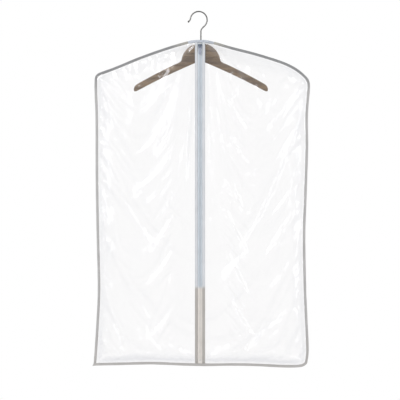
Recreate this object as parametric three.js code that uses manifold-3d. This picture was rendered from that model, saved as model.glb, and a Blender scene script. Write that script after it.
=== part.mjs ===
// A clear garment bag hanging on a wooden hanger.
//
// Two layers of clear film are held together by a folded binding round their edge. The front layer is
// two panels with a full-length coil zip between them. The top of the bag is open for the hanger's hook.
//
// Millimetres, +Z up, left and right as seen from the front, which faces -Y. The origin is the point inside
// the hook that rests on a rail, straight above the hook's stem.

import * as THREE from 'three';
import { mergeVertices } from 'three/addons/utils/BufferGeometryUtils.js';
import Module from 'manifold-3d';

const wasm = await Module();
wasm.setup();

// ---------------------------------------------------------------- driving dimensions

const GAP = 0.3; // between pieces that touch

const FILM = 0.3; // thickness of the clear film
const LAYER_Y = 0.45; // from the bag's mid plane to each layer, inside the edge binding
const FRONT_DEPTH = 12; // how far the front layer stands off the mid plane
const BACK_DEPTH = 20;
const FRONT_RISE = 14; // over how much of its width a layer rises to that depth
const BACK_RISE = 20;

const BINDING_WIDTH = 7.5;
const BINDING_WALL = 0.5;
const BINDING_FOLD = 1.5; // material at the binding's folded side

const OPENING_FLAT = 14; // half width of the straight part of the hook opening
const OPENING_END = 34; // where its own bindings end
const OPENING_HALF = 40; // where the two layers meet
const BINDING_START = 41.2; // where the edge binding starts
const OPENING_FRONT = 10.95; // how far the front and back edges stand apart there
const OPENING_BACK = 9;

const ZIP_X = -2.5; // the zip's line, in the front layer
const ZIP_TOP = { y: -11.4, z: -84 };
const ZIP_BOTTOM = { y: -4, z: -998.5 };
const ZIP_STRIP_IN = 6.3; // the strips that bind the front panels' edges to the zip
const ZIP_STRIP_OUT = 15;
const ZIP_FILM_EDGE = 9;
const ZIP_SPLIT = 0.75; // half the space between the two halves of the chain
const TAPE = { half: 14.2, thick: 0.6 };
const COIL = { half: 3, thick: 2.2 };

const HANGER_THICK = 12;
const HANGER_DOME = { radius: 56, top: -87.5 };
const HANGER_REACH = 192; // from the middle to the end of an arm
const HANGER_SLOPE = 0.52; // fall of an arm's top edge over its length
const HANGER_FOOT_SLOPE = 0.49;

const WIRE = 1.9; // radius of the hook's wire
const HOOK_RADIUS = 24;
const HOOK_CENTRE = { x: -6.2, z: -21.2 };
const STEM_BOTTOM = -114;

// ---------------------------------------------------------------- materials

function finish(color, roughness, metalness = 0, opacity = 1) {
  const material = new THREE.MeshStandardMaterial({ color, roughness, metalness });
  material.opacity = opacity;
  material.transparent = opacity < 1;
  return material;
}

const film = finish(0xf4f5f7, 0.12, 0, 0.25);
const greyTrim = finish(0x9b9a98, 0.7);
const paleTrim = finish(0xc9ccd2, 0.65);
const tapeCloth = finish(0xd8d4cf, 0.8);
const coilNylon = finish(0xdedbd6, 0.45);
const zinc = finish(0x6c7078, 0.35, 0.9);
const steel = finish(0x8a8a88, 0.3, 1);
const beech = finish(0x9a7b5c, 0.5);

// ---------------------------------------------------------------- small helpers

const group = new THREE.Group();

function place(name, geometry, material, parent = group) {
  const mesh = new THREE.Mesh(geometry, material);
  mesh.name = name;
  parent.add(mesh);
  return mesh;
}

function smooth(t) {
  const s = THREE.MathUtils.clamp(t, 0, 1);
  return s * s * (3 - 2 * s);
}

function solid(geometry) {
  const bare = geometry.index ? geometry.toNonIndexed() : geometry.clone();
  bare.deleteAttribute('normal');
  bare.deleteAttribute('uv');
  const merged = mergeVertices(bare, 1e-4);
  return new wasm.Manifold(new wasm.Mesh({
    numProp: 3,
    vertProperties: new Float32Array(merged.attributes.position.array),
    triVerts: new Uint32Array(merged.index.array),
  }));
}

function geometryOf(manifold) {
  const mesh = manifold.getMesh();
  const geometry = new THREE.BufferGeometry();
  geometry.setAttribute('position', new THREE.BufferAttribute(mesh.vertProperties, 3));
  geometry.setIndex(new THREE.BufferAttribute(mesh.triVerts, 1));
  return geometry;
}

function joined(first, ...others) {
  return geometryOf(others.reduce((all, one) => all.add(solid(one)), solid(first)));
}

// A closed body from rings of points, each ring joined to the next, with both ends capped.
function loft(rings, cap) {
  const count = rings[0].length;
  const positions = rings.flat().flatMap((p) => [p.x, p.y, p.z]);
  const index = [];
  for (let r = 0; r < rings.length - 1; r++) {
    for (let i = 0; i < count; i++) {
      const a = r * count + i;
      const b = r * count + (i + 1) % count;
      index.push(a, b, b + count, a, b + count, a + count);
    }
  }
  const last = (rings.length - 1) * count;
  for (const [a, b, c] of cap) {
    index.push(a, c, b);
    index.push(last + a, last + b, last + c);
  }
  return facingOut(positions, index);
}

// The body with its faces turned outwards, whichever way its points ran.
function facingOut(positions, index) {
  const at = (i) => new THREE.Vector3().fromArray(positions, 3 * index[i]);
  let volume = 0;
  for (let i = 0; i < index.length; i += 3) {
    volume += at(i).dot(at(i + 1).cross(at(i + 2)));
  }
  const turned = volume < 0 ? [...index].reverse() : index;
  const geometry = new THREE.BufferGeometry();
  geometry.setAttribute('position', new THREE.Float32BufferAttribute(positions, 3));
  geometry.setIndex(turned);
  return geometry;
}

// A profile swept along a path. A profile point is [towards the bag's middle, depth].
function sweep(path, profile) {
  const contour = profile.map(([a, b]) => new THREE.Vector2(a, b));
  const cap = THREE.ShapeUtils.triangulateShape(contour, []);
  const rings = path.map((p) => profile.map(
    ([a, b]) => new THREE.Vector3(p.x + a * p.nx, p.y + b, p.z + a * p.nz),
  ));
  return loft(rings, cap);
}

// ---------------------------------------------------------------- the bag's outline

// Each side runs along the middle of the binding, as [x, z]. The bag hangs a little uneven: its left
// shoulder ends in a tight corner and its right one in a wide curve, and its foot is wavy.
const vector = ([x, z]) => new THREE.Vector2(x, z);

function curve(start, ...stretches) {
  const path = new THREE.Path();
  path.moveTo(...start);
  for (const stretch of stretches) {
    path.splineThru(stretch.map(vector));
  }
  return path.getPoints(3);
}

const TOP_LEFT = [-297, -181.5];
const TOP_RIGHT = [297.5, -184.2];
const FOOT_LEFT = [-303.6, -1006.3];
const FOOT_RIGHT = [300.5, -1002];

const top = curve(
  TOP_LEFT,
  [[-291, -176.8], [-276, -171], [-241.4, -158.2], [-172.7, -130], [-104, -105.6], [-52.6, -90],
    [-28, -84]],
  [[-8, -82.8], [12, -83], [40, -88.2], [90, -102.4], [159, -120.2], [227.7, -141.8], [262, -157.2],
    [284, -171.8], TOP_RIGHT],
);
const leftSide = curve(
  TOP_LEFT,
  [[-299.8, -188], [-300.6, -205], [-300.2, -235], [-297.8, -310], [-297.4, -470], [-294.6, -640],
    [-291.4, -790], [-295.7, -892], [-301.6, -984], FOOT_LEFT],
);
const rightSide = curve(
  TOP_RIGHT,
  [[304.8, -193.4], [308.1, -206], [307.6, -226], [302.6, -292], [303, -389], [298.8, -526],
    [295, -640], [298, -801], [304, -938], [304.3, -976], FOOT_RIGHT],
);
const foot = curve(
  FOOT_LEFT,
  [[-224, -1004.6], [-140, -1002.9], [-62, -1005.8], [8, -1007.6], [93, -1006.7], [164.7, -1008.2],
    [240, -1011.6], [285, -1010.2], FOOT_RIGHT],
);

// The point of a side where one coordinate has a value; each side runs one way in that coordinate.
function pointAt(side, axis, value) {
  const sign = Math.sign(side.at(-1)[axis] - side[0][axis]);
  const next = side.findIndex((p) => sign * (p[axis] - value) >= 0);
  const i = next < 0 ? side.length - 1 : Math.max(next, 1);
  const share = (value - side[i - 1][axis]) / (side[i][axis] - side[i - 1][axis]);
  return side[i - 1].clone().lerp(side[i], share);
}

// A run of points, counterclockwise from the front, as a path for a sweep: each point also gets the
// direction towards the bag's middle.
function pathOf(points) {
  return points.map((p, i) => {
    const before = points[Math.max(i - 1, 0)];
    const after = points[Math.min(i + 1, points.length - 1)];
    const run = Math.hypot(after.x - before.x, after.z - before.z);
    return { x: p.x, y: p.y, z: p.z, nx: (before.z - after.z) / run, nz: (after.x - before.x) / run };
  });
}

const inMidPlane = (points) => points.map((p) => new THREE.Vector3(p.x, 0, p.y));

const outline = [...top, ...rightSide.slice(1), ...foot.slice(0, -1).reverse(),
  ...leftSide.slice(1, -1).reverse()];

function distanceToEdge(x, z) {
  const point = new THREE.Vector3(x, z, 0);
  const line = new THREE.Line3();
  const nearest = new THREE.Vector3();
  let best = Infinity;
  outline.forEach((a, i) => {
    const b = outline[(i + 1) % outline.length];
    line.start.set(a.x, a.y, 0);
    line.end.set(b.x, b.y, 0);
    best = Math.min(best, line.closestPointToPoint(point, true, nearest).distanceTo(point));
  });
  return best;
}

// ---------------------------------------------------------------- the film panels

// How far apart the edges of the hook opening stand, as a share of the most.
function openingSpread(x, z) {
  const nearTop = z > TOP_LEFT[1] ? 1 : 0;
  return nearTop * smooth((OPENING_HALF - Math.abs(x)) / (OPENING_HALF - OPENING_FLAT));
}

// The layer is flat inside the binding, then rises to its depth.
function layerDepth(x, z, most, rise, spread) {
  const flatEdge = 7;
  const near = Math.exp(-Math.max(0, distanceToEdge(x, z) - flatEdge) / rise);
  return LAYER_Y + most * (1 - near) + spread * openingSpread(x, z) * near;
}

function zipY(z) {
  const share = (z - ZIP_TOP.z) / (ZIP_BOTTOM.z - ZIP_TOP.z);
  return THREE.MathUtils.lerp(ZIP_TOP.y, ZIP_BOTTOM.y, share);
}

function frontY(x, z) {
  const zipFlat = 16.6;
  const zipBlend = 1.5 + 90 * smooth((distanceToEdge(x, z) - 7) / 60);
  const free = -layerDepth(x, z, FRONT_DEPTH, FRONT_RISE, OPENING_FRONT);
  const withZip = 1 - smooth((Math.abs(x - ZIP_X) - zipFlat) / zipBlend);
  const aboveFoot = smooth((z - ZIP_BOTTOM.z + 4) / 3.8);
  return THREE.MathUtils.lerp(free, zipY(z), withZip * aboveFoot);
}

function backY(x, z) {
  return layerDepth(x, z, BACK_DEPTH, BACK_RISE, OPENING_BACK);
}

// Shares of a panel's height and of a front panel's width at which its points lie. They are close
// together at the edges, where the film leaves its binding, and over the top of the hanger.
const ROWS = [0, 0.0075, 0.014, 0.024, 0.04, 0.065, 0.1, 0.15, 0.22, 0.31, 0.42, 0.54, 0.66, 0.77,
  0.86, 0.93, 0.965, 0.98, 0.9905, 0.9953, 1];
const COLUMNS = [0, 0.024, 0.055, 0.11, 0.2, 0.32, 0.46, 0.6, 0.72, 0.82, 0.885, 0.905, 0.922, 0.937,
  0.95, 0.963, 0.974, 1];

// The points of a sheet that fills the space between four sides (a Coons patch).
function patch(fromX, toX, side, otherSide, columns, depth) {
  const cornerTop = side(0);
  const cornerFoot = side(1);
  const otherTop = otherSide(0);
  const otherFoot = otherSide(1);
  return ROWS.map((v) => columns.map((u) => {
    const above = pointAt(top, 'x', THREE.MathUtils.lerp(fromX.top, toX.top, u));
    const below = pointAt(foot, 'x', THREE.MathUtils.lerp(fromX.foot, toX.foot, u));
    const near = side(v);
    const far = otherSide(v);
    const p = new THREE.Vector2();
    p.addScaledVector(above, 1 - v).addScaledVector(below, v);
    p.addScaledVector(near, 1 - u).addScaledVector(far, u);
    p.addScaledVector(cornerTop, -(1 - u) * (1 - v)).addScaledVector(otherTop, -u * (1 - v));
    p.addScaledVector(cornerFoot, -(1 - u) * v).addScaledVector(otherFoot, -u * v);
    return new THREE.Vector3(p.x, depth(p.x, p.y), p.y);
  }));
}

// A sheet of film: the grid of points twice, half a thickness to each side, closed round its rim.
function sheet(grid) {
  const rows = grid.length;
  const columns = grid[0].length;
  const half = rows * columns;
  const positions = [-FILM / 2, FILM / 2].flatMap(
    (side) => grid.flat().flatMap((p) => [p.x, p.y + side, p.z]),
  );
  const index = [];
  const quad = (a, b, c, d) => index.push(a, b, c, a, c, d);
  for (let r = 0; r < rows - 1; r++) {
    for (let c = 0; c < columns - 1; c++) {
      const a = r * columns + c;
      quad(a, a + columns, a + columns + 1, a + 1);
      quad(half + a, half + a + 1, half + a + columns + 1, half + a + columns);
    }
  }
  const rim = [
    ...Array.from({ length: columns }, (_, c) => c),
    ...Array.from({ length: rows - 1 }, (_, r) => (r + 2) * columns - 1),
    ...Array.from({ length: columns - 1 }, (_, c) => half - 2 - c),
    ...Array.from({ length: rows - 2 }, (_, r) => half - (r + 2) * columns),
  ];
  rim.forEach((a, i) => {
    const b = rim[(i + 1) % rim.length];
    quad(a, b, b + half, a + half);
  });
  return facingOut(positions, index);
}

const sideAt = (side) => (v) => pointAt(side, 'y', THREE.MathUtils.lerp(side[0].y, side.at(-1).y, v));

function zipEdge(x) {
  const start = pointAt(top, 'x', x);
  const end = pointAt(foot, 'x', x);
  return (v) => start.clone().lerp(end, v);
}

// Places the three panels and gives the top edge of each layer, from right to left.
function filmPanels() {
  const left = { top: TOP_LEFT[0], foot: FOOT_LEFT[0] };
  const right = { top: TOP_RIGHT[0], foot: FOOT_RIGHT[0] };
  const front = [
    ['front_panel_right', right, rightSide, ZIP_X + ZIP_FILM_EDGE],
    ['front_panel_left', left, leftSide, ZIP_X - ZIP_FILM_EDGE],
  ].map(([name, outer, side, inner]) => {
    const edge = { top: inner, foot: inner };
    const grid = patch(outer, edge, sideAt(side), zipEdge(inner), COLUMNS, frontY);
    place(name, sheet(grid), film);
    return grid[0];
  });
  const half = COLUMNS.map((u) => (u * (right.top - ZIP_FILM_EDGE)) / (right.top - left.top));
  const columns = [...half, ...half.slice(0, -1).reverse().map((u) => 1 - u)];
  const back = patch(left, right, sideAt(leftSide), sideAt(rightSide), columns, backY);
  place('back_panel', sheet(back), film);
  return { front: [...front[0], ...front[1].reverse()], back: back[0].reverse() };
}

// ---------------------------------------------------------------- the bindings

// A tape folded over an edge: a C whose slot opens towards the bag's middle.
function foldedTape(slot) {
  const half = BINDING_WIDTH / 2;
  const outer = slot + BINDING_WALL;
  const fold = BINDING_FOLD - half;
  return [[-half, -outer], [half, -outer], [half, -slot], [fold, -slot],
    [fold, slot], [half, slot], [half, outer], [-half, outer]];
}

const TWO_LAYERS = LAYER_Y + FILM / 2 + GAP;
const ONE_LAYER = FILM / 2 + GAP;

function edgeBindings() {
  const footInside = FOOT_LEFT[1] + BINDING_WIDTH / 2 + 3 * GAP;
  const tail = new THREE.Vector2(FOOT_LEFT[0] - 6, FOOT_LEFT[1] - 0.2);
  const downLeft = [
    ...top.filter((p) => p.x < -BINDING_START),
    pointAt(top, 'x', -BINDING_START),
  ].reverse().concat(
    leftSide.slice(1).filter((p) => p.y > footInside),
    pointAt(leftSide, 'y', footInside),
  );
  const upRight = [tail, ...foot, ...rightSide.slice(0, -1).reverse(),
    ...top.filter((p) => p.x > BINDING_START).reverse().slice(1), pointAt(top, 'x', BINDING_START)];
  place('edge_binding_left', sweep(pathOf(inMidPlane(downLeft)), foldedTape(TWO_LAYERS)), greyTrim);
  const wrap = sweep(pathOf(inMidPlane(upRight)), foldedTape(TWO_LAYERS));
  place('edge_binding_foot_and_right', wrap, greyTrim);
}

// The stretch of an edge between the ends of the opening's bindings.
function openingStretch(edge) {
  const inside = edge.filter((p) => Math.abs(p.x) < OPENING_END);
  const end = (x) => {
    const next = edge.findIndex((p) => p.x < x);
    const share = (x - edge[next - 1].x) / (edge[next].x - edge[next - 1].x);
    return edge[next - 1].clone().lerp(edge[next], share);
  };
  return pathOf([end(OPENING_END), ...inside, end(-OPENING_END)]);
}

function openingBindings(edges) {
  for (const [name, edge] of Object.entries(edges)) {
    const wrap = sweep(openingStretch(edge), foldedTape(TWO_LAYERS));
    place(`opening_binding_${name}`, wrap, paleTrim);
  }
}

// ---------------------------------------------------------------- the zip

// The zip is straight, so its pieces are built along their own Z in a group that leans with its line:
// x across, y deeper into the bag, z up from the zip's top point.
const zipRun = Math.hypot(ZIP_BOTTOM.y - ZIP_TOP.y, ZIP_TOP.z - ZIP_BOTTOM.z);
const zip = new THREE.Group();
zip.position.set(ZIP_X, ZIP_TOP.y, ZIP_TOP.z);
zip.rotation.x = Math.atan2(ZIP_BOTTOM.y - ZIP_TOP.y, ZIP_TOP.z - ZIP_BOTTOM.z);
group.add(zip);

const STRIP_HALF = ONE_LAYER + BINDING_WALL;
const TAPE_FRONT = STRIP_HALF + GAP;
const TAPE_BACK = TAPE_FRONT + TAPE.thick;
const COIL_BACK = TAPE_FRONT - GAP;
const COIL_FRONT = COIL_BACK - COIL.thick;

const CLOTH_TOP = -3.6;
const STOPS = { top: -4.6, foot: -6.8 };
const CHAIN = { top: -7.1, foot: -907.5 };
const FOOT_STOP = { top: CHAIN.foot - GAP, foot: CHAIN.foot - 4 };
const SLIDER = { top: -7.4, length: 13, half: 5.7, foot: 4.4, front: -3.1, back: 3.4, plate: 1.2 };

// A flat outline, [x, y], raised from one height to another along the zip.
function upright(outlinePoints, low, high) {
  const shape = new THREE.Shape(outlinePoints.map(vector));
  const geometry = new THREE.ExtrudeGeometry(shape, { depth: high - low, bevelEnabled: false });
  return geometry.translate(0, 0, low);
}

function rectangle(x0, y0, x1, y1) {
  return [[x0, y0], [x1, y0], [x1, y1], [x0, y1]];
}

function mirrored(points) {
  return points.map(([x, y]) => [-x, y]).reverse();
}

function zipHalves() {
  const slotFoot = ZIP_FILM_EDGE - 1;
  const strip = [[ZIP_STRIP_IN, -STRIP_HALF], [ZIP_STRIP_OUT, -STRIP_HALF], [ZIP_STRIP_OUT, -ONE_LAYER],
    [slotFoot, -ONE_LAYER], [slotFoot, ONE_LAYER], [ZIP_STRIP_OUT, ONE_LAYER],
    [ZIP_STRIP_OUT, STRIP_HALF], [ZIP_STRIP_IN, STRIP_HALF]];
  const corner = 0.7;
  const coil = [[ZIP_SPLIT, COIL_FRONT + corner], [ZIP_SPLIT + corner, COIL_FRONT],
    [COIL.half - corner, COIL_FRONT], [COIL.half, COIL_FRONT + corner], [COIL.half, COIL_BACK],
    [ZIP_SPLIT, COIL_BACK]];
  const stop = [[0.1, COIL_FRONT - 0.2], [3.4, COIL_FRONT - 0.2], [3.4, COIL_BACK],
    [ZIP_SPLIT - GAP, COIL_BACK], [ZIP_SPLIT - GAP, TAPE_BACK + GAP], [3.4, TAPE_BACK + GAP],
    [3.4, TAPE_BACK + 1], [0.1, TAPE_BACK + 1]];
  const tape = rectangle(ZIP_SPLIT, TAPE_FRONT, TAPE.half, TAPE_BACK);
  for (const [side, turn] of [['left', mirrored], ['right', (points) => points]]) {
    place(`zip_binding_${side}`, upright(turn(strip), -zipRun, CLOTH_TOP), greyTrim, zip);
    place(`zip_tape_${side}`, upright(turn(tape), -zipRun, CLOTH_TOP), tapeCloth, zip);
    place(`zip_coil_${side}`, upright(turn(coil), CHAIN.foot, CHAIN.top), coilNylon, zip);
    place(`zip_top_stop_${side}`, upright(turn(stop), STOPS.foot, STOPS.top), zinc, zip);
  }
}

// One clamp across both tapes, joined through the space between them.
function zipFootStop() {
  const half = 3.6;
  const web = ZIP_SPLIT - GAP;
  const section = [[-half, COIL_FRONT - 0.2], [half, COIL_FRONT - 0.2], [half, COIL_BACK],
    [web, COIL_BACK], [web, TAPE_BACK + GAP], [half, TAPE_BACK + GAP], [half, TAPE_BACK + 1],
    [-half, TAPE_BACK + 1], [-half, TAPE_BACK + GAP], [-web, TAPE_BACK + GAP], [-web, COIL_BACK],
    [-half, COIL_BACK]];
  place('zip_foot_stop', upright(section, FOOT_STOP.foot, FOOT_STOP.top), zinc, zip);
}

// A plate of the slider: two shoulders at the top and a narrower foot, between two depths.
function sliderPlate(front, back) {
  const { top: z, length, half, foot: footHalf } = SLIDER;
  const shape = new THREE.Shape();
  shape.moveTo(0, z - 1.1);
  shape.quadraticCurveTo(half * 0.35, z, half * 0.66, z);
  shape.quadraticCurveTo(half, z, half, z - 2.6);
  shape.quadraticCurveTo(half, z - length * 0.5, footHalf, z - length * 0.62);
  shape.lineTo(footHalf, z - length + 1.2);
  shape.quadraticCurveTo(footHalf, z - length, footHalf - 1.2, z - length);
  shape.lineTo(-footHalf + 1.2, z - length);
  shape.quadraticCurveTo(-footHalf, z - length, -footHalf, z - length + 1.2);
  shape.lineTo(-footHalf, z - length * 0.62);
  shape.quadraticCurveTo(-half, z - length * 0.5, -half, z - 2.6);
  shape.quadraticCurveTo(-half, z, -half * 0.66, z);
  shape.quadraticCurveTo(-half * 0.35, z, 0, z - 1.1);
  const options = { depth: back - front, bevelEnabled: false, curveSegments: 4 };
  return new THREE.ExtrudeGeometry(shape, options).rotateX(Math.PI / 2).translate(0, back, 0);
}

function box(x0, x1, y0, y1, z0, z1) {
  const geometry = new THREE.BoxGeometry(x1 - x0, y1 - y0, z1 - z0);
  return geometry.translate((x0 + x1) / 2, (y0 + y1) / 2, (z0 + z1) / 2);
}

const BRIDGE = { half: 1.5, inside: 2.3, leg: 1.1, rise: 2.4, roof: 1 };
const PIVOT = { y: SLIDER.front - BRIDGE.rise / 2, z: SLIDER.top - SLIDER.length * 0.42 };

function slider() {
  const { top: z, length, foot: footHalf, front, back, plate } = SLIDER;
  const inner = COIL.half + 0.5;
  const flange = (side) => box(
    ...(side < 0 ? [-footHalf, -inner] : [inner, footHalf]),
    front + 0.2, TAPE_FRONT - 0.4, z - length + 0.6, z - 1.5,
  );
  const web = box(-ZIP_SPLIT + GAP, ZIP_SPLIT - GAP, front + 0.2, back - 0.2, z - length * 0.7, z - 2);
  const outer = BRIDGE.inside + BRIDGE.leg;
  const leg = (from, to) => box(
    -BRIDGE.half, BRIDGE.half, front - BRIDGE.rise - 0.1, front + 0.2, PIVOT.z + from, PIVOT.z + to,
  );
  const roof = box(
    -BRIDGE.half, BRIDGE.half, front - BRIDGE.rise - BRIDGE.roof, front - BRIDGE.rise,
    PIVOT.z - outer, PIVOT.z + outer,
  );
  place('zip_slider', joined(
    sliderPlate(front, front + plate), sliderPlate(back - plate, back), flange(-1), flange(1), web,
    leg(BRIDGE.inside, outer), leg(-outer, -BRIDGE.inside), roof,
  ), zinc, zip);
}

// The pull: a bar under the slider's bridge, two legs round the bridge, and a long rounded plate.
function pullTab() {
  const half = 3.6;
  const window = { half: 2.1, foot: 4.6 };
  const legs = 5.2;
  const bar = 0.6;
  const long = 24;
  const waist = 2.9;
  const shape = new THREE.Shape();
  shape.moveTo(-half, -legs);
  shape.lineTo(-half, bar);
  shape.lineTo(half, bar);
  shape.lineTo(half, -legs);
  shape.quadraticCurveTo(half, -legs - 2, waist, -legs - 3.4);
  shape.quadraticCurveTo(waist, -long * 0.6, half, -long * 0.75);
  shape.absarc(0, -long + half, half, 0, -Math.PI, true);
  shape.lineTo(-half, -long * 0.75);
  shape.quadraticCurveTo(-waist, -long * 0.6, -waist, -legs - 3.4);
  shape.quadraticCurveTo(-half, -legs - 2, -half, -legs);
  const hole = new THREE.Path([[-1, -bar], [-1, -window.foot], [1, -window.foot], [1, -bar]].map(
    ([side, z]) => new THREE.Vector2(side * window.half, z),
  ));
  shape.holes.push(hole);
  const thick = 2 * bar;
  const options = { depth: thick, bevelEnabled: false, curveSegments: 6 };
  const geometry = new THREE.ExtrudeGeometry(shape, options).rotateX(Math.PI / 2);
  const mesh = place('zip_pull', geometry.translate(0, thick / 2, 0), zinc, zip);
  mesh.position.set(0, PIVOT.y, PIVOT.z);
}

// ---------------------------------------------------------------- the hanger

const BORE = 4.1;
const POCKET_FOOT = STEM_BOTTOM - 2;

// One arm, from just past the middle to its rounded end, drawn for +X: [x, z].
function armShape() {
  const { radius, top: crown } = HANGER_DOME;
  const start = -10;
  const domeEnd = 55.5;
  const centre = crown - radius;
  const fromAngle = Math.acos(start / radius);
  const toAngle = Math.acos(domeEnd / radius);
  const neck = centre + radius * Math.sin(toAngle) - 9;
  const end = 11;
  const armTop = (x) => neck - (x - domeEnd - 12) * HANGER_SLOPE;
  const armFoot = (x) => -135 - x * HANGER_FOOT_SLOPE;
  const shape = new THREE.Shape();
  shape.moveTo(start, -138);
  shape.absarc(0, centre, radius, fromAngle, toAngle, true);
  shape.quadraticCurveTo(domeEnd + 1, armTop(domeEnd + 7), domeEnd + 18, armTop(domeEnd + 18));
  shape.quadraticCurveTo(120, armTop(120) + 3, HANGER_REACH - end, armTop(HANGER_REACH - end));
  shape.quadraticCurveTo(HANGER_REACH, armTop(HANGER_REACH), HANGER_REACH, armTop(HANGER_REACH) - end);
  shape.quadraticCurveTo(HANGER_REACH, armFoot(HANGER_REACH), HANGER_REACH - end, armFoot(HANGER_REACH - end));
  shape.quadraticCurveTo(110, armFoot(110) + 4, 26, armFoot(26) - 1);
  shape.quadraticCurveTo(12, armFoot(12) - 1.5, start, -138);
  return shape;
}

function hangerArms() {
  const round = 3;
  const options = { depth: HANGER_THICK - 2 * round, bevelThickness: round,
    bevelSize: round, bevelOffset: -round, bevelSegments: 3, curveSegments: 6 };
  const arm = new THREE.ExtrudeGeometry(armShape(), options).rotateX(Math.PI / 2);
  arm.translate(0, HANGER_THICK / 2 - round, 0);
  const boreHigh = -70;
  const bore = new THREE.CylinderGeometry(BORE, BORE, boreHigh - POCKET_FOOT, 20).rotateX(Math.PI / 2);
  bore.translate(0, 0, (boreHigh + POCKET_FOOT) / 2);
  const halfSpace = box(GAP / 2, 400, -50, 50, -400, 0);
  const right = solid(arm).intersect(solid(halfSpace)).subtract(solid(bore));
  place('hanger_arm_right', geometryOf(right), beech);
  place('hanger_arm_left', geometryOf(right.mirror([1, 0, 0])), beech);
}

// A turned piece on the stem's axis; the profile is [radius, z] round a closed ring.
function turned(profile) {
  const points = [...profile, profile[0]].map(vector);
  return new THREE.LatheGeometry(points, 20).rotateX(Math.PI / 2);
}

function hookFittings() {
  const stemHole = WIRE + GAP;
  const sleeve = { out: BORE - GAP, flange: 5.6, top: -85.9, under: -87.2, foot: -109 };
  place('hook_sleeve', turned([
    [stemHole, sleeve.foot], [sleeve.out, sleeve.foot], [sleeve.out, sleeve.under],
    [sleeve.flange, sleeve.under], [sleeve.flange, sleeve.top], [stemHole, sleeve.top],
  ]), steel);
  const ring = { top: sleeve.foot - GAP, foot: sleeve.foot - 2.6, out: 3.6 };
  place('hook_retaining_ring', turned([
    [stemHole, ring.foot], [ring.out, ring.foot], [ring.out, ring.top], [stemHole, ring.top],
  ]), steel);
}

// The hook: straight stem, a kink to the right, most of a circle, and a tip turned outwards.
function hook() {
  const at = (x, z) => new THREE.Vector3(x, 0, z);
  const kink = [at(0, STEM_BOTTOM), at(0, -85), at(0, -60), at(0.6, -50), at(5.2, -43.5)];
  const round = [];
  for (let degrees = -45; degrees <= 160; degrees += 20.5) {
    const angle = THREE.MathUtils.degToRad(degrees);
    round.push(at(
      HOOK_CENTRE.x + HOOK_RADIUS * Math.cos(angle), HOOK_CENTRE.z + HOOK_RADIUS * Math.sin(angle),
    ));
  }
  const tip = at(-35.4, -26.4);
  const line = new THREE.CatmullRomCurve3([...kink, ...round, at(-30.6, -20.4), tip]);
  const section = new THREE.Shape().absarc(0, 0, WIRE, 0, 2 * Math.PI, false);
  const wire = new THREE.ExtrudeGeometry(section, { steps: 48, curveSegments: 4, extrudePath: line });
  const ball = new THREE.SphereGeometry(2.7, 10, 6).translate(tip.x, tip.y, tip.z);
  place('hanger_hook', joined(wire, ball), steel);
}

// ---------------------------------------------------------------- assembly

const topEdges = filmPanels();
edgeBindings();
openingBindings(topEdges);
zipHalves();
zipFootStop();
slider();
pullTab();
hangerArms();
hookFittings();
hook();

export default group;
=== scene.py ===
import math

import bmesh
import bpy
import numpy as np
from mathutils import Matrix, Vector, kdtree, noise


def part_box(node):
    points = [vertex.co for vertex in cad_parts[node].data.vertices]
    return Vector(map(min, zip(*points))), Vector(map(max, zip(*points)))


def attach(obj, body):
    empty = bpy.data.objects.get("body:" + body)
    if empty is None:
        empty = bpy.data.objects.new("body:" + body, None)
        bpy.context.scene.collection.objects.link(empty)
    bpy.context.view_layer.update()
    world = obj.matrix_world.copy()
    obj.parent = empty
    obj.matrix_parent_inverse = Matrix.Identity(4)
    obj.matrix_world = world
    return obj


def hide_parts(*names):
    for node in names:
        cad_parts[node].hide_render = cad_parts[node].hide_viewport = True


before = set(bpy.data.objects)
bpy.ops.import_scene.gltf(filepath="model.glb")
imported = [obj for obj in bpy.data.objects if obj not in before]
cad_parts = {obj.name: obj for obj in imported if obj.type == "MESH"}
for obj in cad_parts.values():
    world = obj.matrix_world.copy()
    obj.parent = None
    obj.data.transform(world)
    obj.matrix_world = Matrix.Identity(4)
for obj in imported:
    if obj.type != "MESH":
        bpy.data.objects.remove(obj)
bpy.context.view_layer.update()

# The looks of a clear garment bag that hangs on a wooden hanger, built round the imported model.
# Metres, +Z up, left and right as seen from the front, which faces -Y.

MM = 0.001

# ---------- dimensions, in millimetres

LAYER_Y = 0.45  # from the bag's mid plane to each layer of film, inside the edge binding
FRONT_DEPTH = 12  # how far the front layer stands off the mid plane
BACK_DEPTH = 20
FLAT_EDGE = 7  # the width along the outline where the layers lie flat together
FRONT_RISE = 14  # over about this length from there a layer bows out
BACK_RISE = 20

BINDING_HALF = 3.75
BINDING_WALL = 0.42
STITCH_PITCH = 3.6
STRIP_STITCH_PITCH = 3.2
HEM_STITCH_PITCH = 3.0
STITCH_SUNK = 0.12
THREAD_RADIUS = 0.24
FINE_THREAD_RADIUS = 0.2
THREAD_PERIOD = 0.75  # of the tapes' weave
EDGE_STEP = STITCH_PITCH / 2  # from one profile of the edge tape to the next
TAIL = (-6.4, -0.7)  # from the foot's left corner to the end of the tape's tail
TAIL_POINT = 5  # how much of the tail narrows to its point

OPENING_FLAT = 14  # the hook opening stands fully open this far from its middle
OPENING_HALF = 40
OPENING_FRONT = 10.95  # from the mid plane to the opening's front edge
OPENING_BACK = 9
HEM_ENDS = (-37.5, 38.5)
HEM_HALF = 3.7
HEM_STEP = 1.3
HEM_SEAM = 2.3  # from the hem's middle to its stitches
EDGE_ENDS = (-35.5, 36.5)

ZIP_X = -2.5
ZIP_TOP = (-11.4, -84)  # y, z
ZIP_BOTTOM = (-4, -998.5)
ZIP_LEAN = math.atan2(ZIP_BOTTOM[0] - ZIP_TOP[0], ZIP_TOP[1] - ZIP_BOTTOM[1])
ZIP_FILM_EDGE = 9  # from the zip's middle to the film's edge, inside the strips
ZIP_FLAT_HALF = 16.6  # this far from its middle the zip holds the film flat
PAINTED_LIGHT_CHANGE = (-791, -781)  # painted light: the zip is painted in warm tones below this and pale blue above it, though its cloth has one colour
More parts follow.
